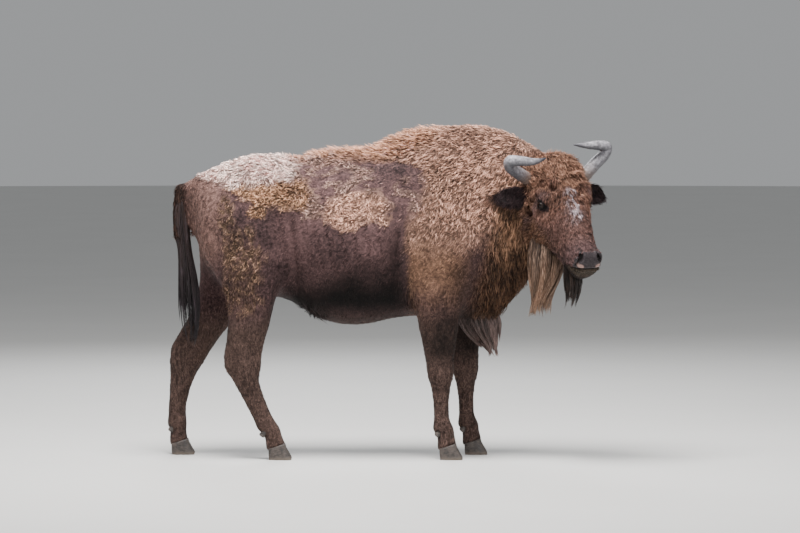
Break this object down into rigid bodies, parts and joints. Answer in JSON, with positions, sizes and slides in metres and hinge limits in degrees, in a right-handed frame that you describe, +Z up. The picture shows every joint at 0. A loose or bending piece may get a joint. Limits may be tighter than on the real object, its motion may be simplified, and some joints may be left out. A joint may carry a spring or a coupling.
{
  "type": "wisent",
  "caption": "Life-size still model of a wisent, the European bison, standing on all fours with its head turned to its right, moulting winter wool on its back.",
  "frame": {"origin": "on the floor, under the middle of the animal's box", "axes": "+X ahead along the body, +Y to the animal's left, +Z up"},
  "size_m": [2.2194, 0.847, 1.6736],
  "materials": {
    "coat": "short matt wool and hair, red-brown to grey-brown, with pale loose winter wool on the back",
    "dark_coat": "short matt dark brown hair",
    "dark_hair": "long near-black hair with a soft sheen",
    "long_hair": "long tan-brown hair, lighter at the tips",
    "muzzle_skin": "bare damp dark grey skin, paler under the nostrils",
    "horn": "smooth grey horn, brownish at the base, darker at the tip, with faint growth rings",
    "eye": "moist very dark brown eyeball",
    "hoof": "dull dark horn with faint growth lines"
  },
  "bodies": {
    "root": {"head": "coat", "face": "coat", "muzzle": "muzzle_skin", "chin": "coat", "horn_right": "horn", "horn_left": "horn", "eye_right": "eye", "eye_left": "eye", "ear_right": "dark_coat", "ear_left": "dark_coat", "shoulder_fore_right": "coat", "forearm_fore_right": "dark_coat", "cannon_fore_right": "dark_coat", "pastern_fore_right": "dark_coat", "claw_inner_fore_right": "hoof", "dewclaw_inner_fore_right": "hoof", "claw_outer_fore_right": "hoof", "dewclaw_outer_fore_right": "hoof", "shoulder_fore_left": "coat", "forearm_fore_left": "dark_coat", "cannon_fore_left": "dark_coat", "pastern_fore_left": "dark_coat", "claw_inner_fore_left": "hoof", "dewclaw_inner_fore_left": "hoof", "claw_outer_fore_left": "hoof", "dewclaw_outer_fore_left": "hoof", "thigh_hind_right": "coat", "gaskin_hind_right": "dark_coat", "cannon_hind_right": "dark_coat", "pastern_hind_right": "dark_coat", "claw_inner_hind_right": "hoof", "dewclaw_inner_hind_right": "hoof", "claw_outer_hind_right": "hoof", "dewclaw_outer_hind_right": "hoof", "thigh_hind_left": "coat", "gaskin_hind_left": "dark_coat", "cannon_hind_left": "dark_coat", "pastern_hind_left": "dark_coat", "claw_inner_hind_left": "hoof", "dewclaw_inner_hind_left": "hoof", "claw_outer_hind_left": "hoof", "dewclaw_outer_hind_left": "hoof", "tail_dock": "coat", "tail_switch": "dark_hair", "rump": "coat", "barrel": "coat", "chest": "coat", "neck": "coat", "chin_beard": "dark_hair", "throat_beard": "long_hair", "brisket_fringe": "long_hair"}
  },
  "joints": []
}
